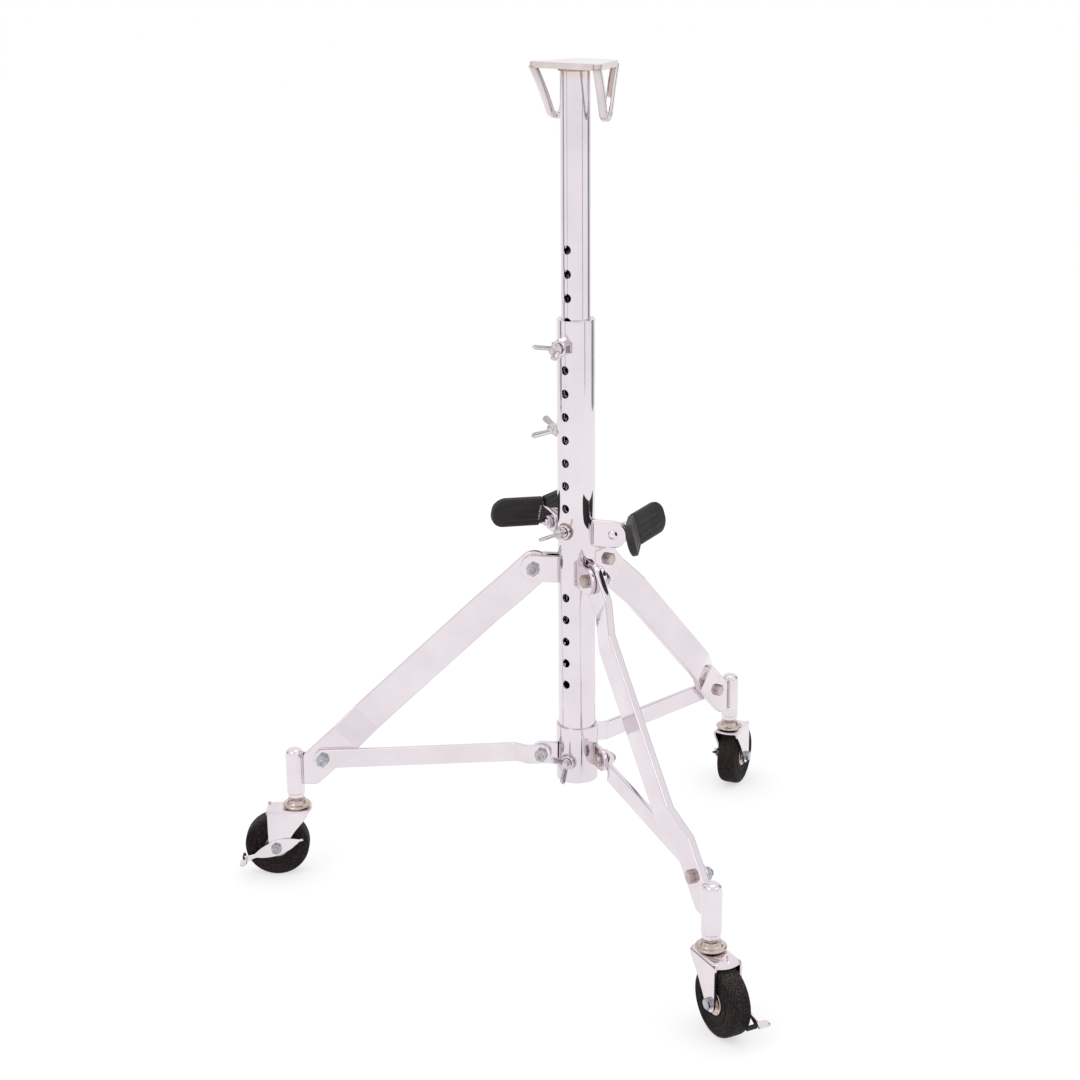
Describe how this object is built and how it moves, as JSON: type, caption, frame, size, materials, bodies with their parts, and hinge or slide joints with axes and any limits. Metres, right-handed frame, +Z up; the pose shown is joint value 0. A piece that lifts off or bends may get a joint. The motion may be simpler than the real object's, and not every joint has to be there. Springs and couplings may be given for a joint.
{
  "type": "rolling drum stand",
  "caption": "Chromed rolling folding tripod stand with a telescoping mast, padded V cradles and hook loops for hand drums, and braked casters.",
  "frame": {"origin": "where the mast axis meets the floor that the three wheels stand on", "axes": "+Z up along the mast, -X towards the left leg; the other legs are at -60 and 60 degrees, the index holes face -120 degrees"},
  "size_m": [0.6178, 0.6942, 0.925],
  "materials": {
    "chrome": "bright chrome plate",
    "yellow_zinc": "yellow zinc plate",
    "zinc": "blue-white zinc plate",
    "rubber_sleeve": "ribbed black rubber",
    "tyre": "satin black rubber"
  },
  "bodies": {
    "base": {"outer_mast": "chrome", "guide_bush": "chrome", "leg_brackets": "chrome", "leg_pivot_bolts": "yellow_zinc", "leg_pivot_nuts": "zinc", "cradle_brackets": "chrome", "cradle_pivot_bolts": "chrome", "screw_bosses": "chrome", "pin_tip": "chrome"},
    "upper_mast": {"inner_mast": "chrome", "head_plate": "chrome", "hook_right": "chrome", "hook_left": "chrome"},
    "collar": {"collar_sleeve": "chrome", "collar_lugs": "chrome", "collar_boss": "chrome", "collar_pivot_bolts": "yellow_zinc", "collar_pivot_nuts": "zinc"},
    "height_screw": {"height_screw": "chrome"},
    "lock_screw": {"lock_screw": "chrome"},
    "index_screw": {"index_screw": "chrome"},
    "collar_screw": {"collar_screw": "chrome"},
    "leg_left": {"leg_left": "chrome", "caster_stem_left": "chrome", "foot_bolt_left": "yellow_zinc"},
    "strut_left": {"strut_left": "chrome", "foot_nut_left": "zinc"},
    "caster_left": {"fork_left": "chrome", "swivel_cap_left": "yellow_zinc", "axle_left": "zinc"},
    "wheel_left": {"tyre_left": "tyre", "hub_left": "yellow_zinc"},
    "brake_left": {"brake_left": "chrome"},
    "leg_front": {"leg_front": "chrome", "caster_stem_front": "chrome", "foot_bolt_front": "yellow_zinc"},
    "strut_front": {"strut_front": "chrome", "foot_nut_front": "zinc"},
    "caster_front": {"fork_front": "chrome", "swivel_cap_front": "yellow_zinc", "axle_front": "zinc"},
    "wheel_front": {"tyre_front": "tyre", "hub_front": "yellow_zinc"},
    "brake_front": {"brake_front": "chrome"},
    "leg_rear": {"leg_rear": "chrome", "caster_stem_rear": "chrome", "foot_bolt_rear": "yellow_zinc"},
    "strut_rear": {"strut_rear": "chrome", "foot_nut_rear": "zinc"},
    "caster_rear": {"fork_rear": "chrome", "swivel_cap_rear": "yellow_zinc", "axle_rear": "zinc"},
    "wheel_rear": {"tyre_rear": "tyre", "hub_rear": "yellow_zinc"},
    "brake_rear": {"brake_rear": "chrome"},
    "cradle_right": {"cradle_right": "chrome", "pads_right": "rubber_sleeve"},
    "cradle_left": {"cradle_left": "chrome", "pads_left": "rubber_sleeve"}
  },
  "joints": [
    {"name": "mast_height", "type": "slide", "parent": "base", "child": "upper_mast", "axis": [0, 0, 1], "range_m": [-0.1016, 0.1778]},
    {"name": "collar_slide", "type": "slide", "parent": "base", "child": "collar", "axis": [0, 0, 1], "range_m": [0, 0.1045]},
    {"name": "leg_fold_left", "type": "hinge", "parent": "base", "child": "leg_left", "pos_m": [-0.0468, 0, 0.3836], "axis": [0, -1, 0], "range_deg": [0, 18.05]},
    {"name": "strut_fold_left", "type": "hinge", "parent": "collar", "child": "strut_left", "pos_m": [-0.0381, 0, 0.1685], "axis": [0, -1, 0], "range_deg": [0, 43.7]},
    {"name": "swivel_left", "type": "hinge", "parent": "leg_left", "child": "caster_left", "pos_m": [-0.327, -0.002, 0.1], "axis": [0, 0, 1], "continuous": true},
    {"name": "roll_left", "type": "hinge", "parent": "caster_left", "child": "wheel_left", "pos_m": [-0.3507, -0.00575, 0.037], "axis": [0.1564, -0.9877, 0], "continuous": true},
    {"name": "brake_left", "type": "hinge", "parent": "caster_left", "child": "brake_left", "pos_m": [-0.3507, -0.00575, 0.037], "axis": [0.1564, -0.9877, 0], "range_deg": [-30, 5]},
    {"name": "leg_fold_front", "type": "hinge", "parent": "base", "child": "leg_front", "pos_m": [0.0234, -0.04053, 0.3836], "axis": [0.866, 0.5, 0], "range_deg": [0, 18.05]},
    {"name": "strut_fold_front", "type": "hinge", "parent": "collar", "child": "strut_front", "pos_m": [0.01905, -0.033, 0.1685], "axis": [0.866, 0.5, 0], "range_deg": [0, 43.7]},
    {"name": "swivel_front", "type": "hinge", "parent": "leg_front", "child": "caster_front", "pos_m": [0.16523, -0.28219, 0.1], "axis": [0, 0, 1], "continuous": true},
    {"name": "roll_front", "type": "hinge", "parent": "caster_front", "child": "wheel_front", "pos_m": [0.17865, -0.30209, 0.037], "axis": [0.829, 0.5592, 0], "continuous": true},
    {"name": "brake_front", "type": "hinge", "parent": "caster_front", "child": "brake_front", "pos_m": [0.17865, -0.30209, 0.037], "axis": [0.829, 0.5592, 0], "range_deg": [-30, 5]},
    {"name": "leg_fold_rear", "type": "hinge", "parent": "base", "child": "leg_rear", "pos_m": [0.0234, 0.04053, 0.3836], "axis": [-0.866, 0.5, 0], "range_deg": [0, 18.05]},
    {"name": "strut_fold_rear", "type": "hinge", "parent": "collar", "child": "strut_rear", "pos_m": [0.01905, 0.033, 0.1685], "axis": [-0.866, 0.5, 0], "range_deg": [0, 43.7]},
    {"name": "swivel_rear", "type": "hinge", "parent": "leg_rear", "child": "caster_rear", "pos_m": [0.16177, 0.28419, 0.1], "axis": [0, 0, 1], "continuous": true},
    {"name": "roll_rear", "type": "hinge", "parent": "caster_rear", "child": "wheel_rear", "pos_m": [0.16878, 0.30714, 0.037], "axis": [-0.9563, 0.2924, 0], "continuous": true},
    {"name": "brake_rear", "type": "hinge", "parent": "caster_rear", "child": "brake_rear", "pos_m": [0.16878, 0.30714, 0.037], "axis": [-0.9563, 0.2924, 0], "range_deg": [-30, 5]},
    {"name": "cradle_tilt_right", "type": "hinge", "parent": "base", "child": "cradle_right", "pos_m": [0.04198, -0.00931, 0.427], "axis": [-0.2164, -0.9763, 0], "range_deg": [-15, 10]},
    {"name": "cradle_tilt_left", "type": "hinge", "parent": "base", "child": "cradle_left", "pos_m": [-0.02905, 0.0317, 0.427], "axis": [0.7373, 0.6756, 0], "range_deg": [-15, 10]},
    {"name": "height_screw_turn", "type": "hinge", "parent": "base", "child": "height_screw", "pos_m": [-0.015, -0.02598, 0.6335], "axis": [-0.5, -0.866, 0], "range_deg": [-180, 180]},
    {"name": "lock_screw_turn", "type": "hinge", "parent": "base", "child": "lock_screw", "pos_m": [-0.02624, 0.01454, 0.536], "axis": [-0.8746, 0.4848, 0], "range_deg": [-180, 180]},
    {"name": "index_screw_turn", "type": "hinge", "parent": "base", "child": "index_screw", "pos_m": [-0.015, -0.02598, 0.4303], "axis": [-0.5, -0.866, 0], "range_deg": [-180, 180]},
    {"name": "collar_screw_turn", "type": "hinge", "parent": "collar", "child": "collar_screw", "pos_m": [-0.00927, -0.02853, 0.162], "axis": [-0.309, -0.9511, 0], "range_deg": [-180, 180]}
  ],
  "couplings": [
    {"joint": "leg_fold_left", "follows": "collar_slide", "rad_per_m": 3.0063},
    {"joint": "strut_fold_left", "follows": "collar_slide", "rad_per_m": 7.2813},
    {"joint": "leg_fold_front", "follows": "collar_slide", "rad_per_m": 3.0063},
    {"joint": "strut_fold_front", "follows": "collar_slide", "rad_per_m": 7.2813},
    {"joint": "leg_fold_rear", "follows": "collar_slide", "rad_per_m": 3.0063},
    {"joint": "strut_fold_rear", "follows": "collar_slide", "rad_per_m": 7.2813}
  ]
}
